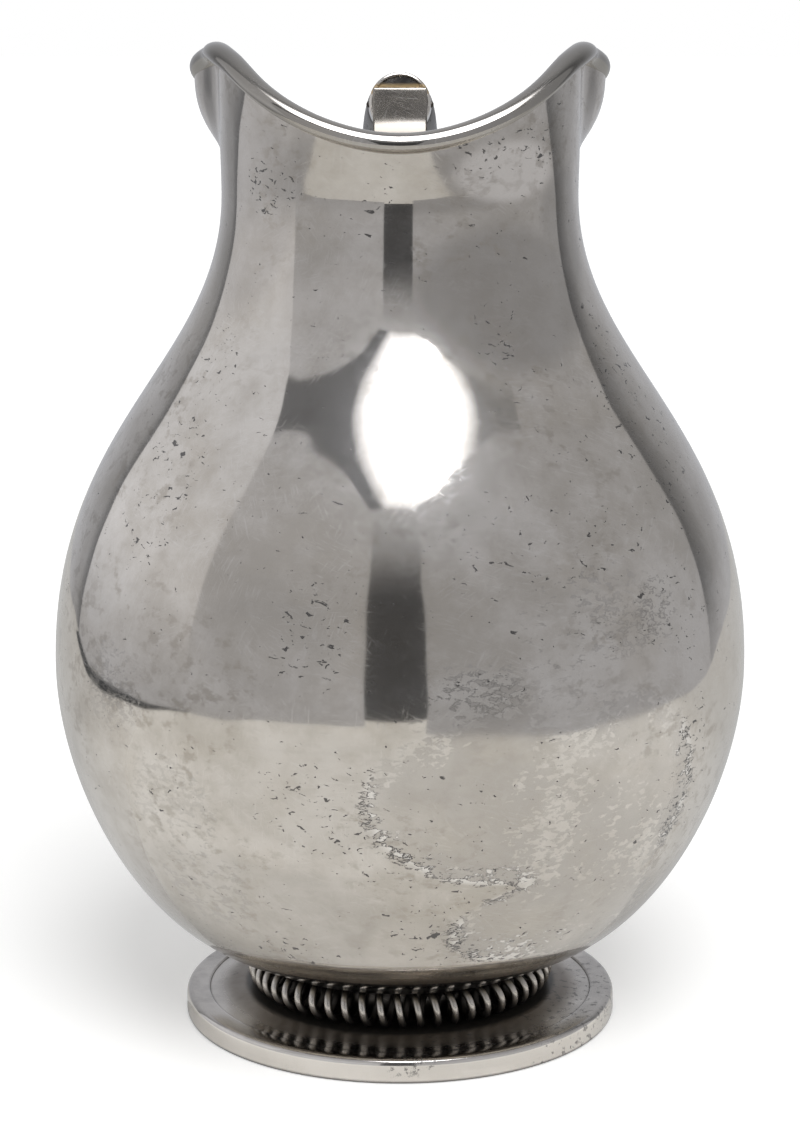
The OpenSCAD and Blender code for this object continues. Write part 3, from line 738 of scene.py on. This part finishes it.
def strap_points(root, lead, tilt):
    """A strap with its rounded tip."""
    path, (c, s) = strap_path(root, lead, tilt)
    rings = [strap_ring(p, turn, STRAP_W, thick, STRAP_EDGE) for p, turn, thick in path]
    (y, z), turn, thick = path[-1]
    for i in range(1, TIP_STEPS + 1):
        lean = radians(90 * i / TIP_STEPS)
        d = STRAP_TIP_R * sin(lean)
        cut = 2 * STRAP_TIP_R * (1 - cos(lean))
        rings.append(strap_ring((y + d * c, z + d * s), turn, STRAP_W - cut, thick - cut, STRAP_TIP_R))
    return [p for r in rings for p in r], inside_out(tube(len(rings), len(rings[0])))


def ferrule_seat(root, lead, tilt):
    """Middle of the end face of a strap's ferrule."""
    sweep = radians(90 - tilt)
    r = STRAP_BEND + STRAP_T / 2
    d = STRAP_END - STRAP_OVER
    y = root[0] + lead + r * sin(sweep) + d * cos(sweep)
    return y, root[1] + STRAP_BEND - r * cos(sweep) + d * sin(sweep)


def ferrule_points(seat, tilt):
    """A cup with a hollow end face, on its seat."""
    inner, mouth = FERRULE_D / 2 - FERRULE_T, FERRULE_MOUTH_D / 2
    face = [(FERRULE_D / 2 * t, CAP_DISH * (1 - t * t)) for t in CAP_FACE]
    cup = [(FERRULE_D / 2, 0), (mouth, FERRULE_L), (mouth - FERRULE_T, FERRULE_L), (inner, FERRULE_T),
           (CAP_CENTRE_R, FERRULE_T)]
    outline = face + rounded(cup, CAP_ROUNDINGS)
    return on_axis(turned(outline, CAP_SEGMENTS), seat, tilt), tube(len(outline), CAP_SEGMENTS)


def pin_points(seat, tilt):
    """A pin across a ferrule, with a domed end on each side."""
    half = (FERRULE_D + FERRULE_MOUTH_D) / 4
    outline = []
    for sign, start, end in ((-1, -PIN_DOME, 1), (1, 0, PIN_DOME + 1)):
        for t in range(start, end, PIN_DOME_STEP):
            outline.append((PIN_D / 2 * cos(radians(t)), sign * half + PIN_PROUD * sin(radians(t))))
    points = [(z, -y, FERRULE_L / 2 + x) for x, y, z in turned(outline, PIN_SEGMENTS)]
    return on_axis(points, seat, tilt), tube(len(outline), PIN_SEGMENTS)


def axis_of(tilt):
    """Direction of a ferrule's axis, out to the grip, as y and z."""
    return cos(radians(tilt)), -sin(radians(tilt))


def shoulder_r(z):
    """Radius of the body's shoulder at a height, from the nearest of many points on its curve."""
    points = [curve(SHOULDER, i / SHOULDER_STEPS) for i in range(SHOULDER_STEPS + 1)]
    return min((abs(p[1] - z), p[0]) for p in points)[1]


def strap_tip(seat, tilt):
    """Middle of the line where a strap's tip ends on its ferrule."""
    return seat[0] + STRAP_OVER * sin(radians(tilt)), seat[1] + STRAP_OVER * cos(radians(tilt))


UPPER_ROOT = (rim_middle_r(180) + rim_width(180) / 2, NECK_Z + BACK_RISE)
LOWER_ROOT = (shoulder_r(BELLY_Z + LOWER_ROOT_RISE), BELLY_Z + LOWER_ROOT_RISE)
UPPER_SEAT = ferrule_seat(UPPER_ROOT, UPPER_LEAD, UPPER_TILT)
LOWER_SEAT = ferrule_seat(LOWER_ROOT, LOWER_LEAD, -LOWER_TILT)
STRAP_TIPS = strap_tip(UPPER_SEAT, UPPER_TILT), strap_tip(LOWER_SEAT, -LOWER_TILT)


def grip_ring(p, d, wide, thick):
    """Oval section of the grip at a point of its middle line, across the direction there."""
    turns = [2 * pi * k / GRIP_SIDES for k in range(GRIP_SIDES)]
    return [(wide / 2 * cos(t), p[0] - thick / 2 * sin(t) * d[1], p[1] + thick / 2 * sin(t) * d[0])
            for t in turns]


def grip_points():
    """The grip, with a round tenon at each end that goes into a ferrule."""
    (uy, uz), (ly, lz) = axis_of(UPPER_TILT), axis_of(-LOWER_TILT)
    upper = (UPPER_SEAT[0] + FERRULE_L * uy, UPPER_SEAT[1] + FERRULE_L * uz)
    lower = (LOWER_SEAT[0] + FERRULE_L * ly, LOWER_SEAT[1] + FERRULE_L * lz)
    line = [upper, (upper[0] + GRIP_UPPER_REACH * uy, upper[1] + GRIP_UPPER_REACH * uz),
            (lower[0] + GRIP_LOWER_REACH * ly, lower[1] + GRIP_LOWER_REACH * lz), lower]
    tenon = FERRULE_MOUTH_D - 2 * FERRULE_T - TENON_GAP
    rings = []
    for depth in (TENON_L, TENON_STEP):
        rings.append(grip_ring((upper[0] - depth * uy, upper[1] - depth * uz), (uy, uz), tenon, tenon))
    for i in range(GRIP_STEPS + 1):
        t = i / GRIP_STEPS
        from_end = min(i, GRIP_STEPS - i)
        swell = sin(pi * t) ** GRIP_SWELL if from_end > 0 else 0.0
        edge = GRIP_EDGE * (1 - min(1.0, from_end / GRIP_EDGE_STEPS))
        wide, thick = (mix(FERRULE_MOUTH_D, size, swell) - edge for size in (GRIP_W, GRIP_T))
        rings.append(grip_ring(curve(line, t), curve_direction(line, t), wide, thick))
    for depth in (TENON_STEP, TENON_L):
        rings.append(grip_ring((lower[0] - depth * ly, lower[1] - depth * lz), (-ly, -lz), tenon, tenon))
    return [p for r in rings for p in r], inside_out(tube(len(rings), GRIP_SIDES))


def make_handle():
    """Two straps with their ferrules and pins, and the grip between them."""
    for place, root, lead, seat, tilt in (("upper", UPPER_ROOT, UPPER_LEAD, UPPER_SEAT, UPPER_TILT),
                                          ("lower", LOWER_ROOT, LOWER_LEAD, LOWER_SEAT, -LOWER_TILT)):
        piece(place + "_strap", *strap_points(root, lead, tilt), SILVER_STRAP, place + "_bracket", "silver")
        cap = piece(place + "_cap", *ferrule_points(seat, tilt), SILVER_CAP, place + "_ferrule", "silver")
        face_points = len(CAP_FACE) * CAP_SEGMENTS
        # Marks the cap's flat face, which gets painted shade
        give_values(cap, "dirt_and_shade", [1.0 if i < face_points else 0.0 for i in range(len(cap.data.vertices))])
        piece(place + "_cross_pin", *pin_points(seat, tilt), PIN_METAL, place + "_pin", "pin_metal")
    piece("wooden_grip", *grip_points(), EBONY, "grip", "ebony")


SILVER_BODY = silver("silver_body", worn=True)
SILVER_RIM = silver("silver_rim", base=RIM_SILVER, tarnish=0.45, grime_and_shade=rim_side_shade, haze=0.2)
SILVER_FOOT = silver("silver_foot", base=FOOT_SILVER, tarnish=0.2, grime_and_shade=foot_grime_and_shade)
SILVER_COIL = silver("silver_coil", tarnish=0.3, grime_and_shade=coil_grime_and_shade, roughness=0.22, waves=0.1, haze=0.0)
SILVER_STEM = silver("silver_stem", base=STEM_SILVER, tarnish=0.1, roughness=0.4, haze=0.0)
SILVER_STRAP = silver("silver_strap", base=STRAP_SILVER, grime_and_shade=strap_root_shade, roughness=0.24, waves=0.15,
                      haze=0.0)
SILVER_CAP = silver("silver_cap", grime_and_shade=cap_shade_and_solder, roughness=0.1, waves=0.1)
EBONY = black_wood()
PIN_METAL = pin_metal()

make_body()
make_rim()
make_foot()
make_coil()
make_handle()


# Floor, reflectors and light

FLOOR_HALF, FLOOR_TONE, FLOOR_LIFT = 4.0, (0.82, 0.82, 0.815), 0.34
WORLD_LIGHT, WORLD_SEEN = 0.45, 1.0
CARD_TINT, FLOOR_CARD_TINT = (0.97, 0.985, 1.04), (1.0, 1.0, 0.995)
SUN_ENERGY, SUN_SOFTNESS, SUN_TILT, SUN_LEAN = 2.0, 32.0, 34.0, 9.0
CAMERA_PLACE, CAMERA_TILT, CAMERA_LENS, CAMERA_SENSOR = (0.0, -0.7, 0.2661), 77.27, 96.85, 36.0


def card_material(name, tint):
    """Gives off the light that each point of a card has as its glow."""
    material = bpy.data.materials.new(name)
    material.use_nodes = True
    tree = material.node_tree
    tree.nodes.clear()
    emission = tree.nodes.new("ShaderNodeEmission")
    emission.inputs["Color"].default_value = (*tint, 1.0)
    amount = tree.nodes.new("ShaderNodeAttribute")
    amount.attribute_name = "glow"
    output = tree.nodes.new("ShaderNodeOutputMaterial")
    tree.links.new(amount.outputs["Fac"], emission.inputs["Strength"])
    tree.links.new(emission.outputs[0], output.inputs[0])
    return material


def floor_material():
    """A pale floor, which looks brighter to the camera than in the metal."""
    material = bpy.data.materials.new("pale_floor")
    material.use_nodes = True
    tree = material.node_tree
    tree.nodes.clear()
    output = tree.nodes.new("ShaderNodeOutputMaterial")
    diffuse = tree.nodes.new("ShaderNodeBsdfDiffuse")
    diffuse.inputs["Color"].default_value = (*FLOOR_TONE, 1.0)
    emission = tree.nodes.new("ShaderNodeEmission")
    path = tree.nodes.new("ShaderNodeLightPath")
    lift = tree.nodes.new("ShaderNodeMath")
    lift.operation = "MULTIPLY"
    lift.inputs[1].default_value = FLOOR_LIFT
    tree.links.new(path.outputs["Is Camera Ray"], lift.inputs[0])
    tree.links.new(lift.outputs[0], emission.inputs["Strength"])
    both = tree.nodes.new("ShaderNodeAddShader")
    tree.links.new(diffuse.outputs[0], both.inputs[0])
    tree.links.new(emission.outputs[0], both.inputs[1])
    tree.links.new(both.outputs[0], output.inputs[0])
    return material


def make_world():
    """A world that is white to the camera and in the metal, and gives less light than it shows."""
    world = bpy.data.worlds.new("white_studio")
    bpy.context.scene.world = world
    world.use_nodes = True
    tree = world.node_tree
    background = tree.nodes["Background"]
    path = tree.nodes.new("ShaderNodeLightPath")
    seen = tree.nodes.new("ShaderNodeMath")
    seen.operation = "MAXIMUM"
    tree.links.new(path.outputs["Is Camera Ray"], seen.inputs[0])
    tree.links.new(path.outputs["Is Glossy Ray"], seen.inputs[1])
    more = tree.nodes.new("ShaderNodeMath")
    more.operation = "MAXIMUM"
    tree.links.new(seen.outputs[0], more.inputs[0])
    tree.links.new(path.outputs["Is Transmission Ray"], more.inputs[1])
    strength = tree.nodes.new("ShaderNodeMapRange")
    strength.inputs["To Min"].default_value = WORLD_LIGHT
    strength.inputs["To Max"].default_value = WORLD_SEEN
    tree.links.new(more.outputs[0], strength.inputs["Value"])
    tree.links.new(strength.outputs[0], background.inputs["Strength"])
    background.inputs["Color"].default_value = (1.0, 1.0, 1.0, 1.0)


def stage_mesh(name, points, faces, material):
    """A mesh in metres that belongs to the studio."""
    mesh = bpy.data.meshes.new(name)
    mesh.from_pydata(points, [], faces)
    mesh.materials.append(material)
    obj = bpy.data.objects.new(name, mesh)
    bpy.context.scene.collection.objects.link(obj)
    return obj


def card(name, points, faces, glows, material):
    """A studio card that shows only in the metal, with a glow for each point."""
    obj = stage_mesh(name, points, faces, material)
    give_values(obj, "glow", glows)
    obj.visible_camera = False
    obj.visible_diffuse = False
    obj.visible_shadow = False
    obj.visible_transmission = False


def each(value, count):
    """A tuple as it is, or a single value as often as needed."""
    return value if isinstance(value, tuple) else (value,) * count


def sheet(rows, columns):
    """Quads of a grid that is open on all sides."""
    starts = [k * columns + i for k in range(rows - 1) for i in range(columns - 1)]
    return [(a, a + 1, a + columns + 1, a + columns) for a in starts]


def wall(name, line, *levels):
    """An upright card along a line. Each level has a height and a glow, for all points or for each."""
    n = len(line)
    points, glows = [], []
    for height, glow in levels:
        points += [(x, y, z) for (x, y), z in zip(line, each(height, n))]
        glows += each(glow, n)
    card(name, points, sheet(len(levels), n), glows, CARD)


def floor_card(name, height, *rows):
    """A card that lies on the floor. Each row has a line and a glow, for all points or for each."""
    n = len(rows[0][0])
    points = [(x, y, height) for line, _ in rows for x, y in line]
    glows = [g for _, glow in rows for g in each(glow, n)]
    card(name, points, sheet(len(rows), n), glows, FLOOR_CARD)


def lamp(name, outline, height, *rings):
    """A lamp that looks down. Each ring has a share of the outline's size and a glow, the inner one first."""
    n = len(outline)
    x0, y0 = (sum(c) / n for c in zip(*outline))
    points = [(mix(x0, x, share), mix(y0, y, share), height) for share, _ in rings for x, y in outline]
    glows = [glow for _, glow in rings for _ in outline]
    card(name, points, bands(len(rings), n, False) + [tuple(range(n))], glows, CARD)


def make_floor():
    h = FLOOR_HALF
    stage_mesh("floor", [(-h, -h, 0), (h, -h, 0), (h, h, 0), (-h, h, 0)], [(0, 1, 2, 3)], floor_material())


# A tent of cards round the pitcher, as its mirror image shows them.
# Lines on the floor and heights are in metres, and a row of glows runs along a line.
LEFT_SIDE = ((-0.56, 0.40), (-0.475, 0.22), (-0.46, 0.0), (-0.46, -0.20))
LEFT_FRONT = ((-0.46, -0.20), (-0.412, -0.282), (-0.364, -0.364), (-0.291, -0.434), (-0.218, -0.503),
              (-0.162, -0.544), (-0.105, -0.585))
LEFT_FRONT_TOP = (0.615, 0.662, 0.71, 0.73, 0.728, 0.694, 0.652)
RIGHT_FRONT = ((0.065, -0.505), (0.119, -0.462), (0.302, -0.277), (0.372, -0.178))
RIGHT_FRONT_TOP = (0.61, 0.61, 0.593, 0.545)
RIGHT_SIDE = ((0.372, -0.178), (0.435, -0.035), (0.45, 0.085), (0.475, 0.177), (0.505, 0.235))
BACK = ((0.505, 0.235), (0.56, 0.34), (0.6, 0.5), (0.5, 0.8), (0.0, 1.0), (-0.5, 0.8), (-0.62, 0.55),
        (-0.56, 0.40))
BACK_LOW_GLOW = (0.36, 0.4, 0.46, 0.5, 0.54, 0.5, 0.36, 0.12)
BACK_MIDDLE_GLOW = (0.13, 0.22, 0.36, 0.48, 0.56, 0.48, 0.35, 0.12)
BACK_TOP_GLOW = (0.13, 0.2, 0.32, 0.48, 0.58, 0.48, 0.34, 0.15)
GAP = ((-0.3, -0.68), (0.3, -0.68))
FAR_LEFT = ((-1.2, 0.6), (-1.1, -0.5), (-0.6, -1.1), (-0.1, -1.25))
FAR_RIGHT = ((-0.1, -1.25), (0.6, -1.1), (1.1, -0.5), (1.2, 0.6))
CEILING = [(-1.3, -1.3, 1.9), (1.3, -1.3, 1.9), (1.3, 1.1, 1.9), (-1.3, 1.1, 1.9)]
LAMP = ((-0.09, -0.903), (0.354, -0.893), (0.472, -0.514), (0.506, -0.303),
        (0.25, 0.2), (-0.25, 0.2), (-0.42, -0.3), (-0.281, -0.557))
LAMP_Z, TABLE_GAP_Z, BACK_FLOOR_Z = 1.0, 0.001, 0.0005

# The dark strip where the left card stands on the table
LEFT_FOOT = ((-0.56, 0.40), (-0.475, 0.22), (-0.465, 0.1), (-0.46, 0.0), (-0.46, -0.12), (-0.46, -0.2))
UNDER_LEFT = ((-0.53, 0.42), (-0.425, 0.2), (-0.405, 0.1), (-0.42, 0.0), (-0.442, -0.12), (-0.452, -0.2))

# The floor behind the pitcher, with a painted shadow under its bowl
FLOOR_X = (-0.62, -0.22, -0.11, -0.065, 0.065, 0.11, 0.22, 0.62)
FLOOR_START = tuple(zip(FLOOR_X, (-0.1, 0.0, 0.0, 0.0, 0.0, 0.0, 0.0, -0.1)))
FLOOR_MIDDLE = tuple(zip(FLOOR_X, (0.06, 0.14, 0.14, 0.14, 0.14, 0.14, 0.14, 0.06)))
FLOOR_END = tuple((x, 1.0) for x in FLOOR_X)
FLOOR_START_GLOW = (0.8, 0.77, 0.68, 0.48, 0.48, 0.7, 0.78, 0.8)
FLOOR_MIDDLE_GLOW = (0.6, 0.57, 0.52, 0.46, 0.46, 0.52, 0.57, 0.6)

CARD = card_material("studio_card", CARD_TINT)
FLOOR_CARD = card_material("floor_card", FLOOR_CARD_TINT)


def make_tent():
    """Stands the cards round the pitcher, lays two on the floor, and hangs the ceiling and the lamp."""
    wall("left_side_card", LEFT_SIDE, (0.0, 0.46), (0.1, 0.6), (0.22, 0.82), (0.5, 0.7), (1.6, 0.66))
    wall("left_front_card", LEFT_FRONT, (0.0, 0.5), (0.12, 0.56), (0.3, 0.52), (0.44, 0.57),
         (LEFT_FRONT_TOP, 0.52))
    wall("right_front_card", RIGHT_FRONT, (0.0, 0.45), (RIGHT_FRONT_TOP, 0.47))
    wall("right_side_card", RIGHT_SIDE, (0.0, 0.46), (1.6, 0.48))
    wall("back_card", BACK, (0.0, BACK_LOW_GLOW), (0.12, BACK_MIDDLE_GLOW), (1.9, BACK_TOP_GLOW))
    wall("gap_card", GAP, (0.0, 0.09), (0.37, 0.08), (0.45, 0.15), (0.54, 0.31), (0.62, 0.4), (0.78, 0.48))
    wall("far_left_card", FAR_LEFT, (0.3, 0.14), (1.9, 0.14))
    wall("far_right_card", FAR_RIGHT, (0.3, 0.3), (1.9, 0.3))
    card("ceiling_card", CEILING, [(0, 1, 2, 3)], [0.36] * len(CEILING), CARD)
    floor_card("table_gap", TABLE_GAP_Z, (LEFT_FOOT, 0.02), (UNDER_LEFT, 0.02))
    floor_card("back_floor", BACK_FLOOR_Z, (FLOOR_START, FLOOR_START_GLOW),
               (FLOOR_MIDDLE, FLOOR_MIDDLE_GLOW), (FLOOR_END, 0.54))
    lamp("lamp_card", LAMP, LAMP_Z, (0.66, 10.0), (0.85, 1.8), (1.06, 0.36))


def make_sun():
    """A high, wide sun from the front, a little to the right, which throws the soft shadow."""
    sun = bpy.data.lights.new("soft_sun", "SUN")
    sun.energy = SUN_ENERGY
    sun.angle = radians(SUN_SOFTNESS)
    obj = bpy.data.objects.new("soft_sun", sun)
    obj.rotation_euler = (radians(SUN_TILT), radians(SUN_LEAN), 0)
    obj.visible_glossy = False
    bpy.context.scene.collection.objects.link(obj)


def make_camera():
    """The camera that was fitted to the photograph."""
    camera = bpy.data.cameras.new("camera")
    camera.lens = CAMERA_LENS
    camera.sensor_width = CAMERA_SENSOR
    obj = bpy.data.objects.new("camera", camera)
    obj.location = CAMERA_PLACE
    obj.rotation_euler = (radians(CAMERA_TILT), 0.0, 0.0)
    bpy.context.scene.collection.objects.link(obj)
    bpy.context.scene.camera = obj


make_world()
make_floor()
make_tent()
make_sun()
make_camera()
bpy.context.scene.view_settings.view_transform = "Standard"
